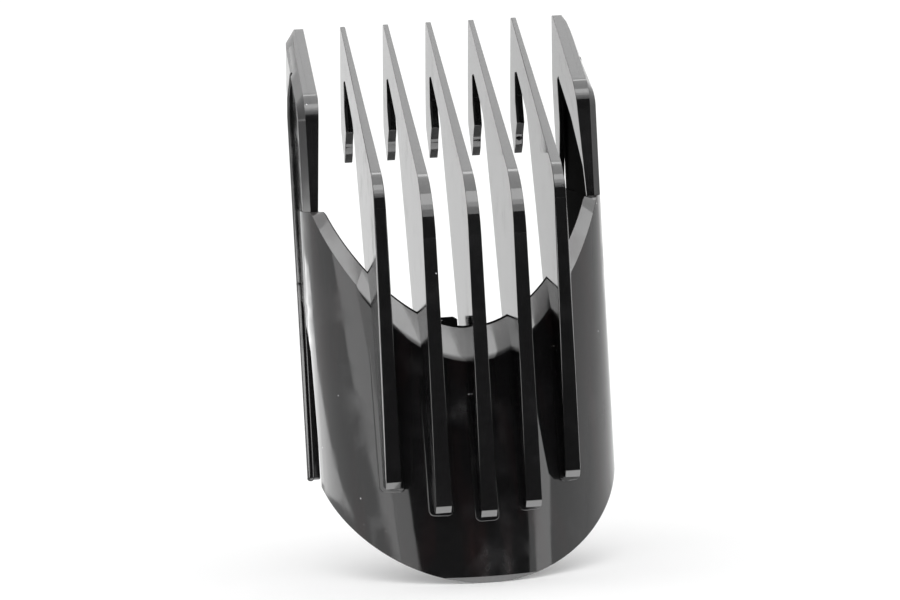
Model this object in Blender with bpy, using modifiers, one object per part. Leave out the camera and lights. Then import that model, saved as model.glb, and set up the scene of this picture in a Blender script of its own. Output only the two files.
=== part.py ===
"""Guard comb for a hair clipper: a hood that slides over the head, five inner teeth and two wide side arms."""
import math

import bmesh
import bpy
from mathutils import Vector

mm = 0.001

# Driving dimensions. The comb slides along Z; its teeth point up and its front faces -Y.
PITCH = 7.2 * mm              # spacing of the teeth across the comb
DEPTH = 49.2 * mm             # back of the spurs to the front of the middle rib
HEIGHT = 88.1 * mm            # lowest point of the hood to the tooth tips
GAP = 0.3 * mm                # clearance between neighbouring pieces

HOOD_HALF_WIDTH = 24.7 * mm
HOOD_WALL = 2.2 * mm
HOOD_CENTRE = 21.6 * mm       # where the half ellipse of the hood starts, forward of the back
HOOD_REACH = 48.5 * mm        # front of the hood at its lowest point
HOOD_LEAN = 0.216             # how far the front wall leans back for each unit of height
SHOULDER = 58.8 * mm          # height where the hood ends and the arms begin

SKIN_SLOPE = 0.6              # fall of the skin line for each unit forward
TIP = 5.2 * mm                # front edge of a tooth tip, forward of the back
RIB_FRONT = 48.6 * mm         # front of the three middle ribs at their shoulder
OUTER_RIB_FRONT = 45.6 * mm   # the same for the two outer ribs
RIB_SEAT = 0.5 * mm           # depth that each rib sits into the hood wall
SLOT_FLOOR = 30.0 * mm        # height where the slots in the hood wall end
FOOT_HEIGHTS = (15.2 * mm, 11.5 * mm, 10.4 * mm, 11.5 * mm, 15.2 * mm)

ARM_INNER = 22.45 * mm        # inner face of an arm, from the middle of the comb
ARM_OUTER = 24.5 * mm
ARM_FRONT = 24.5 * mm
ARM_BACK = 1.6 * mm
END_TOOTH_INNER = 21.0 * mm
HOOD_TAPER = 0.03             # how much the hood's straight sides draw in for each unit towards the back
ARM_TAPER = 0.02              # the same for the outer sides of the arms

RAIL_OUTER = 25.15 * mm
RAIL_INNER = 24.15 * mm
RAIL_BACK = 11.35 * mm
RAIL_FRONT = 12.65 * mm
RAIL_TOP = 81.3 * mm
LEG_INNER = 22.95 * mm
LEG_ROOT = 43.7 * mm          # height of the flexing root of each latch leg
LEG_END = 13.3 * mm

BLACK = (0.012, 0.012, 0.014)
ARC_STEPS = 5


def clear_scene():
    for obj in list(bpy.data.objects):
        bpy.data.objects.remove(obj, do_unlink=True)


def make_collection(name):
    group = bpy.data.collections.new(name)
    bpy.context.scene.collection.children.link(group)
    return group


def gloss_plastic(name, roughness):
    mat = bpy.data.materials.new(name)
    mat.use_nodes = True
    shader = mat.node_tree.nodes["Principled BSDF"]
    shader.inputs["Base Color"].default_value = (*BLACK, 1)
    shader.inputs["Roughness"].default_value = roughness
    shader.inputs["Metallic"].default_value = 0
    return mat


def rounded(corners):
    """Outline through (forward, height, radius) corners, with an arc at each corner that has a radius."""
    points = []
    count = len(corners)
    for i, (forward, height, radius) in enumerate(corners):
        here = Vector((forward, height))
        if radius <= 0:
            points.append(here)
            continue
        before = (Vector(corners[i - 1][:2]) - here).normalized()
        after = (Vector(corners[(i + 1) % count][:2]) - here).normalized()
        half = before.angle(after) / 2
        centre = here + (before + after).normalized() * (radius / math.sin(half))
        start = (here + before * (radius / math.tan(half)) - centre).normalized()
        end = (here + after * (radius / math.tan(half)) - centre).normalized()
        for k in range(ARC_STEPS + 1):
            points.append(centre + start.slerp(end, k / ARC_STEPS) * radius)
    return points


def plate(name, outline, low_x, high_x):
    """Flat side-view outline, extruded across the comb between two x values, as a mesh object."""
    curve = bpy.data.curves.new(name, "CURVE")
    curve.dimensions = "2D"
    curve.fill_mode = "BOTH"
    curve.extrude = (high_x - low_x) / 2
    spline = curve.splines.new("POLY")
    spline.points.add(len(outline) - 1)
    for point, (forward, height) in zip(spline.points, outline):
        point.co = (DEPTH / 2 - forward, height, 0, 1)
    spline.use_cyclic_u = True
    flat = bpy.data.objects.new(name + "_outline", curve)
    bpy.context.scene.collection.objects.link(flat)
    flat.rotation_euler = (math.pi / 2, 0, math.pi / 2)
    flat.location.x = (low_x + high_x) / 2
    bpy.context.view_layer.update()
    mesh = bpy.data.meshes.new_from_object(flat.evaluated_get(bpy.context.evaluated_depsgraph_get()))
    mesh.transform(flat.matrix_world)
    bpy.data.objects.remove(flat, do_unlink=True)
    mesh.name = name
    bm = bmesh.new()
    bm.from_mesh(mesh)
    bmesh.ops.remove_doubles(bm, verts=bm.verts, dist=0.00001)
    bmesh.ops.recalc_face_normals(bm, faces=bm.faces)
    bm.to_mesh(mesh)
    bm.free()
    return bpy.data.objects.new(name, mesh)


def finish(obj, group, mat):
    group.objects.link(obj)
    obj.data.materials.clear()
    obj.data.materials.append(mat)
    obj.data.shade_smooth()
    obj.data.set_sharp_from_angle(angle=math.radians(30))
    return obj


def as_cutter(obj, cutters):
    cutters.objects.link(obj)
    obj.hide_render = True
    obj.display_type = "WIRE"
    return obj


def boolean(obj, operation, other):
    mod = obj.modifiers.new(operation.lower() + "_" + other.name, "BOOLEAN")
    mod.operation = operation
    mod.object = other


def hood_front(height):
    """Forward reach of the hood's outer face on the centre line at a height."""
    return HOOD_REACH - HOOD_LEAN * height


def hood_face(x, height):
    """Forward reach of the hood's outer face at a distance x from the centre line."""
    return HOOD_CENTRE + (hood_front(height) - HOOD_CENTRE) * math.sqrt(1 - (x / HOOD_HALF_WIDTH) ** 2)


def skin_height(forward):
    return HEIGHT - SKIN_SLOPE * (forward - TIP)


def tooth_thickness(height):
    """Teeth are thin at the tip and thicken towards the foot of the rib."""
    tip, shoulder, foot = 0.8 * mm, 2.0 * mm, 2.6 * mm
    bend = 55 * mm
    if height > bend:
        return shoulder + (tip - shoulder) * (height - bend) / (HEIGHT - bend)
    return shoulder + (foot - shoulder) * (bend - height) / bend


def taper(obj, centre_x):
    """Scale a plate's unit thickness to the tooth thickness at each height."""
    for vert in obj.data.vertices:
        side = vert.co.x - centre_x
        vert.co.x = centre_x + math.copysign(tooth_thickness(vert.co.z) / 2, side)


def tooth_outline(x, foot):
    """Side view of a tooth: tip, sloping skin line, front rib, web inside the hood and the rear spur."""
    outer = abs(x) > 1.5 * PITCH
    shoulder = OUTER_RIB_FRONT if outer else RIB_FRONT
    foot_front = shoulder - 1.3 * mm if outer else DEPTH
    inner_wall = HOOD_WALL + 0.8 * mm
    return rounded([
        (4.1 * mm, HEIGHT, 0),
        (TIP, HEIGHT, 0),
        (shoulder, skin_height(shoulder), 6.8 * mm if outer else 11.7 * mm),
        (foot_front, foot, 0.8 * mm),
        (hood_face(x, foot) - RIB_SEAT, foot, 0),
        (hood_face(x, SLOT_FLOOR) - RIB_SEAT, SLOT_FLOOR, 0),
        (hood_face(x, SLOT_FLOOR) - inner_wall, SLOT_FLOOR, 0),
        (32.0 * mm, 38.5 * mm, 2 * mm),
        (26.0 * mm, 56.5 * mm, 20 * mm),
        (18.9 * mm, 72.4 * mm, 6 * mm),
        (9.1 * mm, 79.1 * mm, 0),
        (7.0 * mm, 79.0 * mm, 0),
        (6.6 * mm, 74.2 * mm, 0),
        (7.3 * mm, 70.6 * mm, 0),
        (5.5 * mm, 68.5 * mm, 0),
        (2.6 * mm, 65.1 * mm, 0.3 * mm),
        (0, 70.6 * mm, 1.5 * mm),
        (1.9 * mm, 79.2 * mm, 10 * mm),
    ])


def make_tooth(number, x, foot, group, cutters, mat):
    name = f"tooth_{number}"
    tooth = plate(name, tooth_outline(x, foot), x - mm, x + mm)
    taper(tooth, x)
    finish(tooth, group, mat)
    low = foot - GAP
    seat = RIB_SEAT + GAP
    floor = SLOT_FLOOR - GAP
    outline = [Vector(p) for p in (
        (60 * mm, low), (60 * mm, 100 * mm), (5 * mm, 100 * mm), (5 * mm, floor),
        (hood_face(x, floor) - seat, floor), (hood_face(x, low) - seat, low),
    )]
    half = tooth_thickness(foot) / 2 + GAP
    return as_cutter(plate(name + "_slot", outline, x - half, x + half), cutters)


def hood_plan():
    """Half plan of the hood from its back edge round to the centre line, as (x, fraction of the reach)."""
    steps = 20
    back = HOOD_HALF_WIDTH - HOOD_TAPER * (HOOD_CENTRE + 2 * mm)
    plan = [(back, None)]
    for k in range(steps + 1):
        angle = math.pi / 2 * k / steps
        plan.append((HOOD_HALF_WIDTH * math.cos(angle), math.sin(angle)))
    return plan


def make_hood(group, cutters, slots, mat):
    half = hood_plan()
    plan = [(-x, reach) for x, reach in half[:-1]] + half[::-1]
    low, high = -2 * mm, SHOULDER + 5 * mm
    bm = bmesh.new()
    bmesh.ops.create_grid(bm, x_segments=len(plan) - 1, y_segments=1, size=1)
    columns = sorted({round(vert.co.x, 5) for vert in bm.verts})
    for vert in bm.verts:
        x, reach = plan[columns.index(round(vert.co.x, 5))]
        height = high if vert.co.y > 0 else low
        forward = -2 * mm if reach is None else HOOD_CENTRE + (hood_front(height) - HOOD_CENTRE) * reach
        vert.co = (x, DEPTH / 2 - forward, height)
    bmesh.ops.triangulate(bm, faces=bm.faces)
    mesh = bpy.data.meshes.new("hood_shell")
    bm.to_mesh(mesh)
    bm.free()
    hood = bpy.data.objects.new("hood_shell", mesh)
    wall = hood.modifiers.new("wall", "SOLIDIFY")
    wall.thickness = HOOD_WALL
    wall.offset = -1
    wall.use_even_offset = True
    boolean(hood, "INTERSECT", as_cutter(plate("hood_side_view", hood_side_view(), -40 * mm, 40 * mm), cutters))
    for side in (-1, 1):
        boolean(hood, "DIFFERENCE", rail_channel(side, "hood", cutters))
    for slot in slots:
        boolean(hood, "DIFFERENCE", slot)
    return finish(hood, group, mat)


def hood_side_view():
    """Side view that the hood is trimmed to: slanted top rim, slanted bottom rim and the relief behind the sides."""
    far = 60 * mm
    rim_slope, bottom_slope = 1.55, 0.64
    rim_start = 25.9 * mm
    rim_end = 43.7 * mm
    rim_low = SHOULDER - rim_slope * (rim_end - rim_start)
    bottom_back = 26.4 * mm
    return [Vector(p) for p in (
        (ARM_BACK, SHOULDER), (rim_start, SHOULDER), (rim_end, rim_low), (far, rim_low),
        (far, bottom_slope * (HOOD_REACH - far)), (bottom_back, bottom_slope * (HOOD_REACH - bottom_back)),
        (25.0 * mm, 28.1 * mm), (24.0 * mm, 36.1 * mm), (22.8 * mm, 38.6 * mm),
        (14.0 * mm, 44.3 * mm), (ARM_BACK, 44.5 * mm),
    )]


def rail_channel(side, name, cutters):
    """Groove in the outer side that the rail sits in, with clearance all round."""
    box = bpy.data.objects.new(f"{name}_channel_{'left' if side < 0 else 'right'}", bpy.data.meshes.new("channel"))
    bm = bmesh.new()
    bmesh.ops.create_cube(bm, size=1)
    size = Vector((5 * mm, RAIL_FRONT - RAIL_BACK + 2 * GAP, RAIL_TOP + GAP + 10 * mm))
    bmesh.ops.scale(bm, vec=size, verts=bm.verts)
    centre_x = RAIL_INNER - GAP + size.x / 2
    centre_y = DEPTH / 2 - (RAIL_FRONT + RAIL_BACK) / 2
    bmesh.ops.translate(bm, vec=(side * centre_x, centre_y, size.z / 2 - 10 * mm), verts=bm.verts)
    bm.to_mesh(box.data)
    bm.free()
    return as_cutter(box, cutters)


def make_arm(side, group, cutters, mat):
    name = "left_arm" if side < 0 else "right_arm"
    base = SHOULDER + GAP
    outline = rounded([
        (ARM_BACK, base, 0), (ARM_BACK, 78 * mm, 8 * mm), (4.1 * mm, HEIGHT, 0), (TIP, HEIGHT, 0),
        (ARM_FRONT, skin_height(ARM_FRONT), 5.4 * mm), (ARM_FRONT, base, 0),
    ])
    low_x, high_x = sorted((side * ARM_INNER, side * ARM_OUTER))
    arm = plate(name, outline, low_x, high_x)
    bm = bmesh.new()
    bm.from_mesh(arm.data)
    for vert in bm.verts:
        if abs(vert.co.x) > ARM_OUTER - 0.1 * mm:
            vert.co.x -= side * ARM_TAPER * (ARM_FRONT - (DEPTH / 2 - vert.co.y))
    outer = [e for e in bm.edges
             if all(abs(v.co.x) > ARM_INNER + mm for v in e.verts)
             and len(e.link_faces) == 2 and e.calc_face_angle() > 1
             and max(v.co.z for v in e.verts) > base + mm]
    bmesh.ops.bevel(bm, geom=outer, offset=0.9 * mm, segments=2, profile=0.5, affect="EDGES")
    bm.to_mesh(arm.data)
    bm.free()
    boolean(arm, "DIFFERENCE", rail_channel(side, name, cutters))
    return finish(arm, group, mat)


def make_end_tooth(side, group, mat):
    name = "left_end_tooth" if side < 0 else "right_end_tooth"
    outline = rounded([
        (4.1 * mm, HEIGHT, 0), (TIP, HEIGHT, 0),
        (ARM_FRONT, skin_height(ARM_FRONT), 5.4 * mm),
        (ARM_FRONT, SHOULDER + GAP, 0), (24.0 * mm, SHOULDER + GAP, 0), (23.7 * mm, 63.5 * mm, 0),
        (17.0 * mm, 71.5 * mm, 6 * mm), (8.2 * mm, 78.0 * mm, 0), (6.8 * mm, 77.6 * mm, 0),
        (7.1 * mm, 70.0 * mm, 0), (3.4 * mm, 59.3 * mm, 0.3 * mm), (2.4 * mm, 61.5 * mm, 0),
        (ARM_BACK, 70 * mm, 0), (ARM_BACK, 78 * mm, 8 * mm),
    ])
    low_x, high_x = sorted((side * END_TOOTH_INNER, side * (ARM_INNER - GAP)))
    tooth = plate(name, outline, low_x, high_x)
    for vert in tooth.data.vertices:
        if abs(vert.co.x) < ARM_INNER - mm:
            if DEPTH / 2 - vert.co.y > 10 * mm:
                vert.co.x += side * max(0, 77 * mm - vert.co.z) * 0.055
    return finish(tooth, group, mat)


def make_rail(side, group, mat):
    name = "left_rail" if side < 0 else "right_rail"
    outline = rounded([
        (RAIL_BACK, LEG_ROOT + GAP / 2, 0), (RAIL_BACK, RAIL_TOP, 0.4 * mm),
        (RAIL_FRONT, RAIL_TOP, 0.4 * mm), (RAIL_FRONT, LEG_ROOT + GAP / 2, 0),
    ])
    low_x, high_x = sorted((side * RAIL_INNER, side * RAIL_OUTER))
    return finish(plate(name, outline, low_x, high_x), group, mat)


def make_leg(side, group, mat):
    name = "left_latch_leg" if side < 0 else "right_latch_leg"
    top = LEG_ROOT - GAP / 2
    outline = rounded([
        (RAIL_BACK, top, 0), (RAIL_BACK, LEG_END, 0.4 * mm), (RAIL_FRONT, LEG_END, 0.4 * mm), (RAIL_FRONT, top, 0),
    ])
    low_x, high_x = sorted((side * LEG_INNER, side * RAIL_OUTER))
    leg = finish(plate(name, outline, low_x, high_x), group, mat)
    root = bpy.data.objects.new(name + "_root", None)
    root.location = (side * (LEG_INNER + RAIL_OUTER) / 2, DEPTH / 2 - (RAIL_BACK + RAIL_FRONT) / 2, LEG_ROOT)
    group.objects.link(root)
    bpy.context.view_layer.update()
    leg.parent = root
    leg.matrix_parent_inverse = root.matrix_world.inverted()
    return leg


def make_stop_lug(group, mat):
    """Small block behind the top rim, between the second and third teeth, that stops the comb on its slide."""
    height = 41.8 * mm
    back = hood_face(0, height) - HOOD_WALL - 1.3 * mm
    outline = [Vector(p) for p in (
        (back - 3.6 * mm, height), (back, height), (back, 37.5 * mm), (back - 2 * mm, 37.5 * mm),
    )]
    half_tooth = tooth_thickness(38 * mm) / 2
    lug = plate("stop_lug", outline, -PITCH + half_tooth + GAP, -half_tooth - GAP)
    return finish(lug, group, mat)


def main():
    clear_scene()
    comb = make_collection("clipper_guard_comb")
    cutters = make_collection("cutters")
    hood_mat = gloss_plastic("hood_black", 0.16)
    tooth_mat = gloss_plastic("tooth_black", 0.14)
    arm_mat = gloss_plastic("arm_black", 0.14)
    leg_mat = gloss_plastic("leg_black", 0.2)
    slots = []
    for k, foot in enumerate(FOOT_HEIGHTS):
        slots.append(make_tooth(k + 1, (k - 2) * PITCH, foot, comb, cutters, tooth_mat))
    make_hood(comb, cutters, slots, hood_mat)
    for side in (-1, 1):
        make_arm(side, comb, cutters, arm_mat)
        make_end_tooth(side, comb, arm_mat)
        make_rail(side, comb, leg_mat)
        make_leg(side, comb, leg_mat)
    make_stop_lug(comb, hood_mat)


main()
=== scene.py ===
import math

import bmesh
import bpy
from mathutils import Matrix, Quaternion, Vector


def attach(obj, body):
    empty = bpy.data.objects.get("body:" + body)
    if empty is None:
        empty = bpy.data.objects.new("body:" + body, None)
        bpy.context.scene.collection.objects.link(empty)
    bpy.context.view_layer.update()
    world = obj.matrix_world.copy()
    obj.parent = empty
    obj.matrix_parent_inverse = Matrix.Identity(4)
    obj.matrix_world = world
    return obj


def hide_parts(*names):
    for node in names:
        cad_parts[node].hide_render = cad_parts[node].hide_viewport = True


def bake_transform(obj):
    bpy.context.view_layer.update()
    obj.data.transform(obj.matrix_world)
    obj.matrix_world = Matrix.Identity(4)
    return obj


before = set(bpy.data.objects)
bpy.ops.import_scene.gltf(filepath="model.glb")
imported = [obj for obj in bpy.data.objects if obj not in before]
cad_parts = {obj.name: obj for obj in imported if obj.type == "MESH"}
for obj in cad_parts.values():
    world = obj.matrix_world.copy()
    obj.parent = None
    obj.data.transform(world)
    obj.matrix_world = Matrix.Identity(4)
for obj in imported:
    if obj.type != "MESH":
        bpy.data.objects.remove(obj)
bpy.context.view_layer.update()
print("frame loaded")

mm = 0.001
backY = 24.6  # y of the rearmost point; "forward" below is measured from there towards the front, in mm
tipBack, tipFront, tipHeight = 4.1, 5.2, 88.1
skinSlope = 0.6
pitch = 7.2
sharpAngle = 40  # degrees; edges that turn by more stay crisp in the shading


def spot(x, forward, height):
    return Vector((x * mm, (backY - forward) * mm, height * mm))


def lerp(a, b, t):
    return a + (b - a) * t


def follow(line, height):  # value at a height along a list of (height, value) pairs
    if height <= line[0][0]:
        return line[0][1]
    for (lowZ, low), (highZ, high) in zip(line, line[1:]):
        if height <= highZ:
            return lerp(low, high, (height - lowZ) / (highZ - lowZ))
    return line[-1][1]


def skinHeight(forward):
    return tipHeight - skinSlope * (forward - tipFront)


def rounded(corners, steps=12):  # outline through (forward, height, radius) corners, with arcs
    points = []
    for i, (forward, height, radius) in enumerate(corners):
        here = Vector((forward, height))
        if radius <= 0:
            points.append(here)
            continue
        before = (Vector(corners[i - 1][:2]) - here).normalized()
        after = (Vector(corners[(i + 1) % len(corners)][:2]) - here).normalized()
        half = before.angle(after) / 2
        centre = here + (before + after).normalized() * (radius / math.sin(half))
        start = (here + before * (radius / math.tan(half)) - centre).normalized()
        end = (here + after * (radius / math.tan(half)) - centre).normalized()
        for k in range(steps + 1):
            points.append(centre + start.slerp(end, k / steps) * radius)
    return points


def sliceAt(bm, place, facing):  # adds a row of edges where a plane crosses the mesh
    everything = bm.verts[:] + bm.edges[:] + bm.faces[:]
    bmesh.ops.bisect_plane(bm, geom=everything, dist=1e-7, plane_co=place, plane_no=facing)


def flatPlate(outline, lowX, highX, cuts=()):  # side view outline made solid between two x values
    bm = bmesh.new()
    ring = bmesh.ops.create_circle(bm, cap_ends=True, segments=len(outline), radius=1)["verts"]
    for vert, (forward, height) in zip(ring, outline):
        vert.co = spot(lowX, forward, height)
    for height in cuts:
        sliceAt(bm, (0, 0, height * mm), (0, 0, 1))
    grown = bmesh.ops.extrude_face_region(bm, geom=bm.faces[:])["geom"]
    moved = [item for item in grown if isinstance(item, bmesh.types.BMVert)]
    bmesh.ops.translate(bm, vec=((highX - lowX) * mm, 0, 0), verts=moved)
    bmesh.ops.recalc_face_normals(bm, faces=bm.faces[:])
    return bm


def bevelEdges(bm, edges, size, segments):
    bmesh.ops.bevel(
        bm, geom=edges, offset=size * mm, offset_type="OFFSET", segments=segments,
        profile=0.5, affect="EDGES", clamp_overlap=True, material=-1,
    )


def softenEdges(bm, size, segments=3, skip=None, limit=28):  # bevels every edge that turns by more than limit
    edges = []
    for edge in bm.edges:
        if len(edge.link_faces) == 2 and edge.calc_face_angle() > math.radians(limit):
            if skip is None or not skip(edge):
                edges.append(edge)
    bevelEdges(bm, edges, size, segments)


def farFrom(edge, x):  # both ends lie further out than x
    return all(abs(vert.co.x) > x * mm for vert in edge.verts)


def near(edge, x):  # both ends lie further in than x
    return all(abs(vert.co.x) < x * mm for vert in edge.verts)


def below(edge, height):  # both ends lie lower than height
    return max(vert.co.z for vert in edge.verts) < height * mm


def makePiece(name, bm, mat, replaced=(), body="comb"):
    bmesh.ops.remove_doubles(bm, verts=bm.verts[:], dist=2e-6)
    bmesh.ops.recalc_face_normals(bm, faces=bm.faces[:])
    mesh = bpy.data.meshes.new(name)
    bm.to_mesh(mesh)
    bm.free()
    obj = bpy.data.objects.new(name, mesh)
    bpy.context.scene.collection.objects.link(obj)
    mesh.shade_smooth()
    mesh.set_sharp_from_angle(angle=math.radians(sharpAngle))
    weighted = obj.modifiers.new("evenShading", "WEIGHTED_NORMAL")
    weighted.weight = 100
    weighted.keep_sharp = True
    mesh.materials.append(mat)
    if body:
        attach(obj, body)
    if replaced:
        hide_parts(*replaced)
    return obj


class Value:  # one output of a node; sums written with it add Math nodes
    def __init__(self, graph, socket):
        self.graph, self.socket = graph, socket

    def __add__(self, other):
        return self.graph.maths("ADD", self, other)

    def __radd__(self, other):
        return self.graph.maths("ADD", other, self)

    def __sub__(self, other):
        return self.graph.maths("SUBTRACT", self, other)

    def __rsub__(self, other):
        return self.graph.maths("SUBTRACT", other, self)

    def __mul__(self, other):
        return self.graph.maths("MULTIPLY", self, other)

    def __rmul__(self, other):
        return self.graph.maths("MULTIPLY", other, self)

    def __truediv__(self, other):
        return self.graph.maths("DIVIDE", self, other)

    def __gt__(self, other):
        return self.graph.maths("GREATER_THAN", self, other)

    def __lt__(self, other):
        return self.graph.maths("LESS_THAN", self, other)


class Graph:  # the nodes of one material
    def __init__(self, mat):
        mat.use_nodes = True
        self.tree = mat.node_tree
        self.shader = self.tree.nodes["Principled BSDF"]
        self.output = Value(self, self.shader.outputs["BSDF"])

    def join(self, item, socket):
        if isinstance(item, Value):
            self.tree.links.new(item.socket, socket)
        else:
            socket.default_value = item

    def add(self, kind, settings, inputs, output=0):
        node = self.tree.nodes.new(kind)
        for key, item in settings.items():
            setattr(node, key, item)
        for key, item in inputs.items():
            self.join(item, node.inputs[key])
        return Value(self, node.outputs[output])

    def maths(self, operation, first, second):
        return self.add("ShaderNodeMath", {"operation": operation}, {0: first, 1: second})

    def noise(self, place, scale, detail):
        return self.add("ShaderNodeTexNoise", {}, {"Vector": place, "Scale": scale, "Detail": detail})

    def span(self, item, low, high):
        return self.add("ShaderNodeMapRange", {}, {"Value": item, "From Min": low, "From Max": high})


def glossBlack(name, look, inside=None):
    mat = bpy.data.materials.new(name)
    graph = Graph(mat)
    place = graph.add("ShaderNodeTexCoord", {}, {}, "Object")
    grain = graph.noise(place, look["grainScale"], 2.0)
    waves = graph.noise(place, look["waveScale"], 1.0)
    smudge = graph.span(graph.noise(place, look["smudgeScale"], 4.0), *look["smudgeSpan"])
    drawn = graph.add("ShaderNodeMapping", {}, {"Vector": place, "Scale": (1.0, 1.0, look["streakDraw"])})
    streak = graph.span(graph.noise(drawn, look["streakScale"], 3.0), *look["streakSpan"])
    dust = {"Vector": place, "Scale": look["dustScale"]}
    toSpeck = graph.add("ShaderNodeTexVoronoi", {}, dust, "Distance")
    speckPlace = graph.add("ShaderNodeTexVoronoi", {}, dust, "Position")
    chance = graph.add("ShaderNodeTexWhiteNoise", {}, {"Vector": speckPlace})
    speck = (toSpeck < look["dustSize"]) * (chance > 1 - look["dustShare"])

    grey = look["dustTone"] * speck + look["tone"] + look["grainTone"] * grain + look["smudgeTone"] * smudge
    warm = grey + look["streakTone"] * streak
    colour = graph.add("ShaderNodeCombineColor", {}, {
        "Red": warm, "Green": grey, "Blue": grey * look["cool"],
    })
    graph.join(colour, graph.shader.inputs["Base Color"])
    haze = look["smudgeHaze"] * smudge * (0.6 + 0.8 * grain) + look["streakHaze"] * streak
    graph.join(look["roughness"] + haze + look["dustHaze"] * speck, graph.shader.inputs["Roughness"])
    graph.shader.inputs["IOR"].default_value = look["ior"]
    bump = graph.add("ShaderNodeBump", {}, {
        "Height": waves + 0.02 * grain, "Strength": look["waveStrength"], "Distance": look["waveDepth"],
    })
    graph.join(bump, graph.shader.inputs["Normal"])
    if inside:  # the walls that face each other inside the comb get a near-black shader without any reflection: painted shade
        paintedShade = graph.add("ShaderNodeBsdfPrincipled", {}, {
            "Base Color": (0.010, 0.010, 0.010, 1), "Roughness": 0.7, "Specular IOR Level": 0.0,
        })
        mixed = graph.add("ShaderNodeMixShader", {}, {0: inside(graph, place), 1: graph.output, 2: paintedShade})
        graph.join(mixed, graph.tree.nodes["Material Output"].inputs["Surface"])
    return mat


def glossLook(**changed):  # tones are base colours, hazes are added roughness
    look = {
        "tone": 0.006, "cool": 1.03, "roughness": 0.07, "ior": 1.5,
        "grainScale": 900.0, "grainTone": 0.004,
        "waveScale": 60.0, "waveStrength": 0.2, "waveDepth": 0.0002,
        "smudgeScale": 200.0, "smudgeSpan": (0.50, 0.72), "smudgeTone": 0.003, "smudgeHaze": 0.12,
        "streakScale": 260.0, "streakSpan": (0.48, 0.75), "streakDraw": 0.06, "streakTone": 0.0,
        "streakHaze": 0.0,
        "dustScale": 480.0, "dustSize": 0.05, "dustShare": 0.06, "dustTone": 0.55, "dustHaze": 0.4,
    }
    look.update(changed)
    return look


# the hood: a half ellipse in plan that leans back as it rises, with straight sides behind it
hood = {
    "halfWidth": 24.7,
    "wall": 2.0,
    "frontWall": 1.9,
    "centre": 21.6,
    "reach": 48.5,
    "lean": 0.216,
    "topFlat": 58.8,
    "topCut": (59.0, 1.58, 25.92),  # height, slope and forward position of the slanted top rim
    "bottomSlope": 0.64,
    "rearEdge": [(14.1, 26.4), (21.6, 25.7), (28.1, 25.0), (36.0, 24.0), (38.2, 22.8),
                 (43.2, 15.0), (44.2, 1.7), (58.8, 1.7)],
    "sideTaper": 0.03,  # the straight sides draw in towards the back
    "rows": [14.1, 16, 18, 20, 21.6, 24, 26, 28.1, 30, 32, 34, 36.0, 37, 38.2, 40, 41.6, 43.2, 44.2,
             46, 48, 50, 52, 54, 56, 57.4, 58.8],  # heights of the mesh rows at the rear edge
    "sideColumns": 14,
    "firstAngle": 15,
    "angleStep": 2.5,
    "edge": 0.22,
    "shadeDepth": 0.15,  # how far the painted shade of the inside reaches into the wall, which paints a thin dark line along the inner edge of the rims
}


def insideHood(graph, place):  # mask of the painted shade: 1 within the inner ellipse, and between the straight sides behind it
    x, y, z = [graph.add("ShaderNodeSeparateXYZ", {}, {0: place}, axis) for axis in "XYZ"]
    centreY = (backY - hood["centre"]) * mm
    width = (hood["halfWidth"] - hood["wall"] + hood["shadeDepth"]) * mm
    reach = (hood["reach"] - hood["frontWall"] + hood["shadeDepth"] - hood["centre"]) * mm
    across = x * (1 / width)
    along = (centreY - y) / (reach - hood["lean"] * z)
    return (across * across + along * along * (y < centreY)) < 1


hoodMat = glossBlack("hoodBlack", glossLook(
    smudgeScale=150.0, smudgeTone=0.006, smudgeHaze=0.16, waveScale=90.0, waveStrength=0.25,
    streakTone=0.006, streakHaze=0.10, dustShare=0.10), insideHood)


def hoodReach(height, inner=False):
    return hood["reach"] - (hood["frontWall"] if inner else 0) - hood["lean"] * height


def hoodPoint(share, height, inner, left):  # share is the sine of the angle round the ellipse
    width = hood["halfWidth"] - (hood["wall"] if inner else 0)
    forward = hood["centre"] + (hoodReach(height, inner) - hood["centre"]) * share
    x = width * math.sqrt(max(0, 1 - share * share))
    return spot(-x if left else x, forward, height)


def hoodSide(forward, height, inner, left):
    width = hood["halfWidth"] - (hood["wall"] if inner else 0)
    if forward > hood["centre"]:
        share = (forward - hood["centre"]) / (hoodReach(height, inner) - hood["centre"])
        width *= math.sqrt(max(0, 1 - share * share))
    else:
        width -= hood["sideTaper"] * (hood["centre"] - forward)
    return spot(-width if left else width, forward, height)


def rimHeights(share, inner):  # bottom and top of the wall at a place round the ellipse
    reach = hoodReach(0, inner) - hood["centre"]
    slope = hood["bottomSlope"]
    low = slope * (hood["reach"] - hood["centre"] - reach * share) / (1 - slope * hood["lean"] * share)
    start, cut, at = hood["topCut"]
    high = (start - cut * (hood["centre"] + reach * share - at)) / (1 - cut * hood["lean"] * share)
    return low, min(high, hood["topFlat"])


def hoodColumns(inner):  # upright rows of places for one half, from the rear edge to the middle of the front
    rows = hood["rows"]
    spans = [(z - rows[0]) / (rows[-1] - rows[0]) for z in rows]
    first = math.sin(math.radians(hood["firstAngle"]))
    low, high = rimHeights(first, inner)
    columns = []
    for k in range(hood["sideColumns"]):
        weight = k / hood["sideColumns"]  # 0 at the rear edge, 1 where the ellipse takes over
        column = []
        for z, span in zip(rows, spans):
            ringZ = lerp(low, high, span)
            ringForward = hood["centre"] + (hoodReach(ringZ, inner) - hood["centre"]) * first
            height = lerp(z, ringZ, weight)
            column.append((lerp(follow(hood["rearEdge"], z), ringForward, weight), height))
        columns.append(("side", column))
    angle = hood["firstAngle"]
    while angle <= 90.001:
        share = min(1, math.sin(math.radians(angle)))
        low, high = rimHeights(share, inner)
        columns.append(("ring", [(share, lerp(low, high, span)) for span in spans]))
        angle += hood["angleStep"]
    return columns


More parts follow.
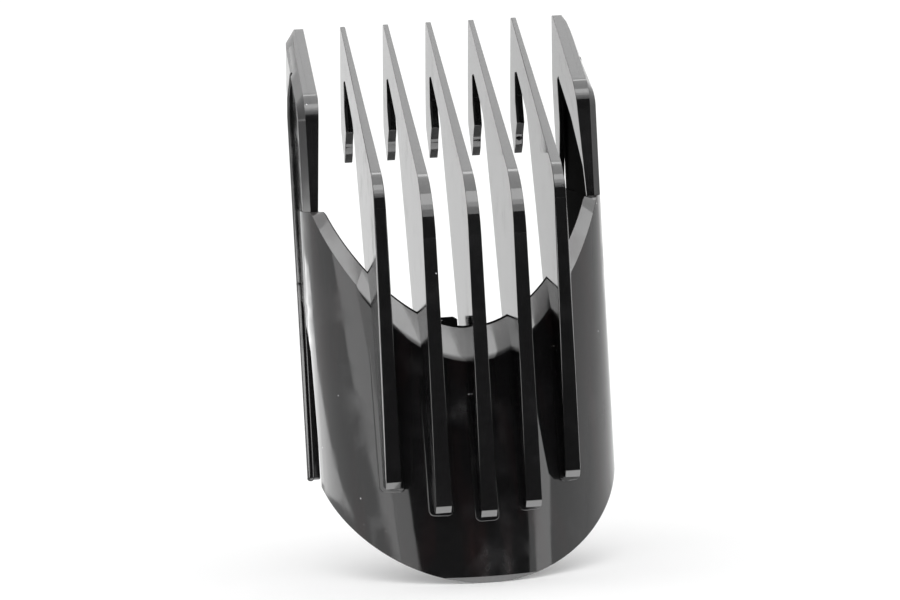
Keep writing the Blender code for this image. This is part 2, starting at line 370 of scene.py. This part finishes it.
def hoodPlaces(inner):  # the columns of both halves, from the left rear edge round to the right one
    half = hoodColumns(inner)
    places = []
    for left, columns in ((True, half), (False, half[-2::-1])):
        for kind, column in columns:
            build = hoodSide if kind == "side" else hoodPoint
            places.append([build(value, height, inner, left) for value, height in column])
    return places


def chain(bm, verts):  # the edges from each vertex to the next
    edges = []
    for a, b in zip(verts, verts[1:]):
        edges.append(bm.edges.get((a, b)))
    return edges


def makeHood():
    outer, inner = hoodPlaces(False), hoodPlaces(True)
    loops = [a + b[::-1] for a, b in zip(outer, inner)]  # up the outside, over the rim and down the inside
    bm = bmesh.new()
    wide, tall = len(loops), len(loops[0])
    made = bmesh.ops.create_grid(bm, x_segments=wide - 1, y_segments=tall - 1, size=1)["verts"]
    made = sorted(made, key=lambda v: (round(v.co.x, 5), round(v.co.y, 5)))
    grid = [made[k * tall:(k + 1) * tall] for k in range(wide)]
    for column, places in zip(grid, loops):
        for vert, place in zip(column, places):
            vert.co = place
    bottom = chain(bm, [c[0] for c in grid]) + chain(bm, [c[-1] for c in grid])
    bmesh.ops.bridge_loops(bm, edges=bottom)
    half = tall // 2
    for column in (grid[0], grid[-1]):
        bmesh.ops.bridge_loops(bm, edges=chain(bm, column[:half]) + chain(bm, column[half:]))
    bmesh.ops.recalc_face_normals(bm, faces=bm.faces[:])
    softenEdges(bm, hood["edge"], segments=3, limit=40)
    return bm


makePiece("hood", makeHood(), hoodMat, ["hood_shell"])
print("hood ready")

teeth = {
    "thickness": [(8, 2.6), (30, 2.35), (55, 2.05), (62, 1.85), (68, 1.6), (76, 1.25), (84, 0.95),
                  (tipHeight, 0.8)],
    "spurThickness": 1.35,  # of the part below spurTop and behind spurFront
    "spurTop": 79,
    "spurFront": 8,
    "rear": [(32.0, 38.5, 2.0), (26.0, 56.5, 20.0), (18.9, 72.4, 6.0), (9.1, 79.1, 0.3), (7.0, 79.0, 0.3),
             (6.6, 74.2, 0), (7.3, 70.6, 0.3), (5.4, 68.6, 0), (4.4, 66.7, 0), (2.6, 65.1, 0.3),
             (0, 70.6, 1.5), (1.9, 79.2, 10.0)],  # up the web, down the front of the spur and up its back
    "cuts": (20, 30, 40, 48, 55, 58.5, 62, 65, 68, 72, 76, 80, 84),
    "edge": 0.24,
    "outerFrom": 10,  # ribs further out than this are outer ones
    "seat": 0.6,  # how deep the rib sits in the hood
    "webEnd": 30.0,
    "webDepth": 0.9,  # how far the lower end of the web stands inside the hood
    "footRise": 1.2,  # the slanted face at the lower end of the rib
    "footRun": 1.0,
    "footRound": 0.2,
}
middleTooth = {"front": 48.6, "footFront": 49.15, "radius": 11.7}
outerTooth = {"front": 45.6, "footFront": 44.4, "radius": 6.8}
feet = [15.2, 11.5, 10.4, 11.5, 15.2]
toothMat = glossBlack("toothBlack", glossLook(smudgeHaze=0.08, waveStrength=0.15, streakHaze=0.05))


def hoodFace(x, height):  # forward place of the outer face of the hood
    share = math.sqrt(1 - (x / hood["halfWidth"]) ** 2)
    return hood["centre"] + (hoodReach(height) - hood["centre"]) * share


def toothShape(x, foot):
    form = outerTooth if abs(x) > teeth["outerFrom"] else middleTooth
    shoulder, footFront = form["front"], form["footFront"]
    seat, webEnd, footRound = teeth["seat"], teeth["webEnd"], teeth["footRound"]
    return rounded([
        (tipBack, tipHeight, 0), (tipFront, tipHeight, 0),
        (shoulder, skinHeight(shoulder), form["radius"]),
        (footFront, foot + teeth["footRise"], footRound), (footFront - teeth["footRun"], foot, footRound),
        (hoodFace(x, foot) - seat, foot, 0),
        (hoodFace(x, webEnd) - seat, webEnd, 0),
        (hoodFace(x, webEnd) - hood["frontWall"] - teeth["webDepth"], webEnd, 0),
        *teeth["rear"],
    ])


def taper(bm, x):  # thins the plate, 2 mm thick so far, towards the tip and at the spur
    for vert in bm.verts:
        height = vert.co.z / mm
        forward = backY - vert.co.y / mm
        thick = follow(teeth["thickness"], height)
        if height < teeth["spurTop"] and forward < teeth["spurFront"]:
            thick = min(thick, teeth["spurThickness"])
        vert.co.x = (x + (vert.co.x / mm - x) * thick / 2) * mm


for k, foot in enumerate(feet):
    x = (k - 2) * pitch
    toothBm = flatPlate(toothShape(x, foot), x - 1, x + 1, teeth["cuts"])
    softenEdges(toothBm, teeth["edge"], segments=2)
    taper(toothBm, x)
    makePiece(f"tooth{k + 1}", toothBm, toothMat, [f"tooth_{k + 1}"])

pad = {"margin": 0.65, "below": 0.85, "clear": 1.2, "raised": 0.28, "sunk": 0.4, "edge": 0.22,
       "corner": 0.9, "steps": 12, "fadeFrom": 0.4, "topSunk": 0.06}


def makePad(x, foot):  # low land round the rib, following the curve of the hood
    half = follow(teeth["thickness"], foot) / 2 + pad["margin"]
    low = foot - pad["below"]
    share = math.sqrt(1 - ((abs(x) - half) / hood["halfWidth"]) ** 2) if x else 1
    top = rimHeights(share, False)[1] - pad["clear"]  # ends just under the rim
    bm = flatPlate([(0, low), (0, top), (1, top), (1, low)], x - half, x + half)  # 0 becomes sunk, 1 raised
    upright = []
    for edge in bm.edges:
        a, b = [vert.co for vert in edge.verts]
        if abs(a.x - b.x) < 1e-6 and abs(a.z - b.z) < 1e-6 and below(edge, low + 1):
            upright.append(edge)
    bevelEdges(bm, upright, pad["corner"], 5)
    front = [f for f in bm.faces if all(v.co.y < (backY - 0.5) * mm for v in f.verts)]
    bevelEdges(bm, list({e for f in front for e in f.edges}), pad["edge"], 3)
    for k in range(1, pad["steps"]):
        sliceAt(bm, (0, 0, lerp(low + 2, top, k / pad["steps"]) * mm), (0, 0, 1))
    for share in (-0.6, -0.3, 0, 0.3, 0.6):
        sliceAt(bm, ((x + share * half) * mm, 0, 0), (1, 0, 0))
    for vert in bm.verts:
        height = vert.co.z / mm
        fade = max(0, (height - low) / (top - low) - pad["fadeFrom"]) / (1 - pad["fadeFrom"])
        raised = lerp(pad["raised"], -pad["topSunk"], fade)  # runs out into the hood towards the top
        out = lerp(-pad["sunk"], raised, backY - vert.co.y / mm)
        vert.co.y = (backY - hoodFace(vert.co.x / mm, height) - out) * mm
    return bm


for k, foot in enumerate(feet):
    makePiece(f"pad{k + 1}", makePad((k - 2) * pitch, foot), toothMat)
print("teeth ready")

arm = {"inner": 22.45, "outer": 24.5, "ridge": 23.35, "back": 1.6, "front": 24.55, "base": 58.7,
       "corner": 5.4, "chamfer": 1.05, "widen": [(74, 1), (80, 2.4), (88.1, 2.5)], "edge": 0.09,
       "sideTaper": 0.02, "tuck": 1.5, "tuckFrom": 84.2, "tipShift": (-0.1, -0.857),
       "skinSteps": (7, 9, 11, 13, 16)}  # extra points down the skin line, forward places
endTooth = {
    "inner": 21.0, "edge": 0.2,
    "webFront": 10, "narrowFrom": 77, "narrow": 0.06,  # the web in front thins from this height down
    "spurFront": 8, "spurFrom": 73, "spurLean": 0.5, "spurClear": 0.55,  # the spur leaves the wall
    "rear": [(24.0, arm["base"], 0), (23.7, 63.5, 0), (17.0, 71.5, 6.0), (8.2, 78.0, 0.3), (6.8, 77.6, 0.3),
             (7.1, 70.0, 0), (3.4, 59.3, 0.3), (2.4, 61.5, 0), (1.6, 70, 0), (1.6, 78, 8.0)],
    "cuts": (62, 64, 66, 68, 70, 72, 73, 74, 77, 80),
}
rail = {"inner": 23.6, "outer": 25.15, "back": 11.35, "front": 12.65, "top": 81.3, "low": 44.2, "edge": 0.6,
        "fadeFrom": 76, "fade": 0.55, "cuts": (66, 70, 74, 77, 79)}
leg = {"inner": 22.95, "ridge": 23.95, "outer": 25.15, "back": 11.35, "front": 12.65, "top": 47,
       "end": 13.5, "beadEnd": 13.3, "edge": 0.25, "beadRound": 0.55, "slope": 0.2,
       "webBack": 11.45, "webFront": 12.5, "overlap": 0.3, "rows": range(14, 47),
       "hinge": 24.05, "blendTop": 44.6, "blendLow": 42}  # the last three give places at the root of the leg, which are computed but not used


def insideArm(graph, place):  # mask of the painted shade: 1 on the face towards the teeth
    x = graph.add("ShaderNodeSeparateXYZ", {}, {0: place}, "X")
    return (x * x) < ((arm["inner"] + 0.01) * mm) ** 2


armLook = glossLook(roughness=0.09, smudgeScale=260.0, streakHaze=0.05, dustShare=0.03)
armMat = glossBlack("armBlack", armLook, insideArm)
endToothMat = glossBlack("endToothBlack", armLook)
legMat = glossBlack("legBlack", glossLook(roughness=0.11, smudgeScale=300.0))


def sameSpot(place):  # a vertex is known again by where it stands
    return tuple(round(c * 1e7) for c in place)


def loft(rings):  # joins rings of points, all of the same length, and closes both ends
    bm = bmesh.new()
    verts = bmesh.ops.create_circle(bm, cap_ends=True, segments=len(rings[0]), radius=1)["verts"]
    for vert, place in zip(verts, rings[0]):
        vert.co = place
    face = bm.faces[:][0]
    for before, ring in zip(rings, rings[1:]):
        number = {sameSpot(place): k for k, place in enumerate(before)}
        grown = bmesh.ops.extrude_face_region(bm, geom=[face])["geom"]
        for vert in (item for item in grown if isinstance(item, bmesh.types.BMVert)):
            vert.co = ring[number[sameSpot(vert.co)]]
        face = next(item for item in grown if isinstance(item, bmesh.types.BMFace))
    bmesh.ops.recalc_face_normals(bm, faces=bm.faces[:])
    return bm


def inset(outline, first, amount):  # draws the skin line and the front in, and more towards the tip
    moved = [Vector(p) for p in outline]
    for k in range(first, len(outline)):
        ahead = (outline[k + 1] - outline[k]).normalized() if k + 1 < len(outline) else None
        behind = (outline[k] - outline[k - 1]).normalized() if k > first else None
        way = ((ahead or behind) + (behind or ahead)).normalized()
        moved[k] += Vector((way.y, -way.x)) * amount * follow(arm["widen"], outline[k].y)
    moved[first - 1] += Vector(arm["tipShift"]) * amount * arm["widen"][-1][1]
    return moved


def armX(side, depth, forward, height):  # the outer face draws in towards the back and the tip
    share = max(0, height - arm["tuckFrom"]) / (tipHeight - arm["tuckFrom"])
    drawn = arm["tuck"] * (1 - math.sqrt(max(0, 1 - min(1, share) ** 2)))
    drawn += arm["sideTaper"] * max(0, arm["front"] - forward)
    reach = (depth - arm["inner"]) / (arm["outer"] - arm["inner"])
    return side * (depth - drawn * reach)


def makeArm(side):  # flat inner part of the skin line, then a chamfer that runs round the tip and the front
    outline = rounded([
        (arm["back"], arm["base"], 0), (arm["back"], 78, 8.0),
        (tipBack, tipHeight, 0), (tipFront, tipHeight, 0),
        (arm["front"], skinHeight(arm["front"]), arm["corner"]), (arm["front"], arm["base"], 0),
    ])
    start = outline.index(Vector((tipFront, tipHeight)))
    outline[start + 1:start + 1] = [Vector((f, skinHeight(f))) for f in arm["skinSteps"]]
    rings = []
    for depth, amount in ((arm["inner"], 0), (arm["ridge"], 0), (arm["outer"], arm["chamfer"])):
        rings.append([spot(armX(side, depth, f, z), f, z) for f, z in inset(outline, start, amount)])
    bm = loft(rings)
    softenEdges(bm, arm["edge"], segments=2, limit=24,
                skip=lambda e: near(e, arm["inner"] + 0.01) or below(e, arm["base"] + 0.5))
    return bm


def makeEndTooth(side):
    outline = rounded([
        (tipBack, tipHeight, 0), (tipFront, tipHeight, 0),
        (arm["front"], skinHeight(arm["front"]), arm["corner"]),
        (arm["front"], arm["base"], 0), *endTooth["rear"],
    ])
    low, high = sorted((side * endTooth["inner"], side * arm["inner"]))
    bm = flatPlate(outline, low, high, endTooth["cuts"])
    for vert in bm.verts:
        forward, height = backY - vert.co.y / mm, vert.co.z / mm
        if abs(vert.co.x) < (arm["inner"] - 0.5) * mm:
            if forward > endTooth["webFront"]:
                vert.co.x += side * max(0, endTooth["narrowFrom"] - height) * endTooth["narrow"] * mm
        elif forward < endTooth["spurFront"]:
            lean = max(0, endTooth["spurFrom"] - height) * endTooth["spurLean"]
            vert.co.x -= side * min(endTooth["spurClear"], lean) * mm
    softenEdges(bm, endTooth["edge"], segments=2,
                skip=lambda e: farFrom(e, arm["inner"] - 0.01) or below(e, arm["base"] + 0.3))
    return bm


def makeRail(side):  # rounded strip down the outside, which sinks into the wall at its top
    outline = [(rail["back"], rail["low"]), (rail["back"], rail["top"]),
               (rail["front"], rail["top"]), (rail["front"], rail["low"])]
    low, high = sorted((side * rail["inner"], side * rail["outer"]))
    bm = flatPlate(outline, low, high)
    softenEdges(bm, rail["edge"], segments=5, skip=lambda e: near(e, rail["inner"] + 0.1))
    for height in rail["cuts"]:
        sliceAt(bm, (0, 0, height * mm), (0, 0, 1))
    for vert in bm.verts:
        share = max(0, vert.co.z / mm - rail["fadeFrom"]) / (rail["top"] - rail["fadeFrom"])
        vert.co.x -= side * rail["fade"] * share * max(0, abs(vert.co.x) / mm - rail["inner"]) * mm
    return bm


def makeLeg(side):  # a round bead along the outer edge and a thin web inside it
    low, high = sorted((side * leg["ridge"], side * leg["outer"]))
    outline = [(leg["back"], leg["beadEnd"]), (leg["back"], leg["top"]),
               (leg["front"], leg["top"]), (leg["front"], leg["beadEnd"])]
    bead = flatPlate(outline, low, high, leg["rows"])
    softenEdges(bead, leg["beadRound"], segments=5, limit=60)
    back, front = leg["webBack"], leg["webFront"]
    low, high = sorted((side * leg["inner"], side * (leg["ridge"] + leg["overlap"])))
    outline = [(back, leg["end"] + leg["slope"]), (back, leg["top"]),
               (front, leg["top"]), (front, leg["end"])]
    web = flatPlate(outline, low, high, leg["rows"])
    softenEdges(web, leg["edge"], segments=3, limit=60)
    return bead, web


for side, word in ((-1, "left"), (1, "right")):
    makePiece(word + "Arm", makeArm(side), armMat, [word + "_arm"])
    makePiece(word + "EndTooth", makeEndTooth(side), endToothMat, [word + "_end_tooth"])
    makePiece(word + "Rail", makeRail(side), legMat, [word + "_rail"])
    bead, web = makeLeg(side)
    for label, bm in (("LegBead", bead), ("LegWeb", web)):
        obj = makePiece(word + label, bm, legMat, [word + "_latch_leg"], body=None)
        middleForward = (leg["back"] + leg["front"]) / 2
        spot(side * leg["hinge"], middleForward, leg["blendTop"])
        spot(side * leg["hinge"], middleForward, leg["blendLow"])
        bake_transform(obj)
print("arms, rails and legs ready")

lug = {"back": 33.4, "front": 37.6, "low": 37.3, "high": 41.2, "left": -5.2, "right": -2.0, "slant": 2,
       "edge": 0.25}
lugBm = flatPlate([
    (lug["back"], lug["high"]), (lug["front"], lug["high"]), (lug["front"], lug["low"]),
    (lug["back"] + lug["slant"], lug["low"]),
], lug["left"], lug["right"])
softenEdges(lugBm, lug["edge"])
makePiece("stopLug", lugBm, hoodMat, ["stop_lug"])
print("stop lug ready")

# the stage: a pale floor that curves up into a backdrop, and cards that only show as reflections
studio = {
    "paper": (0.92, 0.92, 0.92),
    "surround": 1.25,
    "floorLength": 9,  # metres, as everything in the studio
    "floorHalfWidth": 6,
    "floorFront": 2.5,
    "floorFlat": 5.5,
    "backdropRadius": 1.5,
    "white": (1, 1, 1),
    "dark": (0.002, 0.002, 0.002),
    "middle": (0, 0, 0.05),  # what the standing cards face
}


def plainMat(name, colour, glow=0.0):
    mat = bpy.data.materials.new(name)
    mat.use_nodes = True
    shader = mat.node_tree.nodes["Principled BSDF"]
    shader.inputs["Base Color"].default_value = (*colour, 1)
    shader.inputs["Roughness"].default_value = 0.9
    shader.inputs["Specular IOR Level"].default_value = 0.0
    shader.inputs["Emission Color"].default_value = (*colour, 1)
    shader.inputs["Emission Strength"].default_value = glow
    return mat


def stagePiece(name, bm, mat):
    mesh = bpy.data.meshes.new(name)
    bm.to_mesh(mesh)
    bm.free()
    mesh.materials.append(mat)
    obj = bpy.data.objects.new(name, mesh)
    bpy.context.scene.collection.objects.link(obj)
    return obj


def addFloor():
    bm = bmesh.new()
    bmesh.ops.create_grid(bm, x_segments=1, y_segments=40, size=1)
    flat, radius = studio["floorFlat"], studio["backdropRadius"]
    for vert in bm.verts:
        run = (vert.co.y + 1) / 2 * studio["floorLength"]  # distance along the paper, from its front edge
        turn = min(max(0, run - flat) / radius, math.pi / 2)
        rest = max(0, run - flat - radius * math.pi / 2)
        y = min(run, flat) - studio["floorFront"] + radius * math.sin(turn)
        z = radius * (1 - math.cos(turn)) + rest
        vert.co = (vert.co.x * studio["floorHalfWidth"], y, z)
    floor = stagePiece("floor", bm, plainMat("paper", studio["paper"]))
    floor.data.shade_smooth()


def addCard(name, size, place, facing, tone, glow):
    bm = bmesh.new()
    bmesh.ops.create_grid(bm, x_segments=1, y_segments=1, size=0.5)
    bmesh.ops.scale(bm, vec=(size[0], size[1], 1), verts=bm.verts[:])
    card = stagePiece(name, bm, plainMat(name, studio[tone], glow))
    card.location = place
    card.rotation_mode = "QUATERNION"
    card.rotation_quaternion = facing
    card.visible_camera = False
    card.visible_diffuse = False
    card.visible_shadow = False
    card.visible_transmission = False


def standingCard(name, size, azimuth, elevation, distance, tone, glow):  # azimuth 0 is in front
    a, e = math.radians(azimuth), math.radians(elevation)
    away = Vector((math.sin(a) * math.cos(e), -math.cos(a) * math.cos(e), math.sin(e)))
    place = Vector(studio["middle"]) + away * distance
    addCard(name, size, place, away.to_track_quat("Z", "Y"), tone, glow)


def lyingCard(name, size, place, tone, glow, turn=0):
    addCard(name, size, place, Quaternion((0, 0, 1), math.radians(turn)), tone, glow)


def arcCard(name, width, low, high, glow):  # a strip over the comb, between two elevations
    distance = 1.2
    length = 2 * distance * math.tan(math.radians(high - low) / 2)
    standingCard(name, (width, length), 0, (low + high) / 2, distance, "white", glow)


addFloor()
standingCard("darkFront", (2.6, 1.1), -6, 8, 1.3, "dark", 0.0)
lyingCard("darkFloor", (1.4, 1.15), (0, -0.62, 0.002), "dark", 0.0)
lyingCard("leftFloor", (0.84, 0.4), (-0.48, -0.24, 0.004), "white", 7.0)  # light lines on the left edges
lyingCard("rightFloor", (0.84, 0.4), (0.58, -0.24, 0.004), "white", 3.0)
lyingCard("underGlow", (0.06, 0.04), (0, -0.012, 0.001), "white", 4.0)  # the lower ends of the ribs
arcCard("frontLow", 1.0, 24, 31, 0.8)  # the next seven grade the rib corners, the rim and the skin line
arcCard("frontRise", 1.0, 31, 38, 1.8)
arcCard("frontMiddle", 1.0, 38, 46, 4.5)
arcCard("frontHigh", 1.2, 46, 61, 7.5)
arcCard("aboveFront", 1.4, 61, 98, 3.2)
arcCard("aboveLine", 1.4, 98, 103, 9.0)
arcCard("overhead", 1.6, 103, 132, 3.2)
standingCard("leftFront", (0.32, 0.9), -56, 22, 1.25, "white", 1.1)
standingCard("leftSide", (0.45, 0.9), -73, 22, 1.25, "white", 2.0)
lyingCard("leftBack", (0.2, 0.6), (-0.204, 0.324, 0.004), "white", 2.2, turn=29)  # the hood's left edge
standingCard("rightFront", (0.30, 0.9), 52, 22, 1.25, "white", 2.2)

world = bpy.data.worlds.new("studio")
bpy.context.scene.world = world
world.use_nodes = True
world.node_tree.nodes["Background"].inputs["Color"].default_value = (1, 1, 1, 1)
world.node_tree.nodes["Background"].inputs["Strength"].default_value = studio["surround"]
print("stage ready")

shot = {"lens": 160, "sensor": 36, "place": (-0.0859, -0.6445, 0.0995), "target": (0.00076, 0.0160, 0.0417),
        "roll": -2.98}
camData = bpy.data.cameras.new("camera")
camData.lens = shot["lens"]
camData.sensor_width = shot["sensor"]
camera = bpy.data.objects.new("camera", camData)
bpy.context.scene.collection.objects.link(camera)
camera.location = shot["place"]
camera.rotation_mode = "QUATERNION"
aim = (Vector(shot["target"]) - Vector(shot["place"])).to_track_quat("-Z", "Y")
camera.rotation_quaternion = aim @ Quaternion((0, 0, 1), math.radians(shot["roll"]))
camData.clip_start = 0.01
camData.clip_end = 100

scene = bpy.context.scene
scene.camera = camera
scene.render.engine = "CYCLES"
scene.cycles.samples = 160
scene.cycles.max_bounces = 10
scene.cycles.glossy_bounces = 8
scene.render.resolution_x = 900
scene.render.resolution_y = 600
scene.view_settings.view_transform = "Standard"
scene.view_settings.look = "None"
print("camera ready")
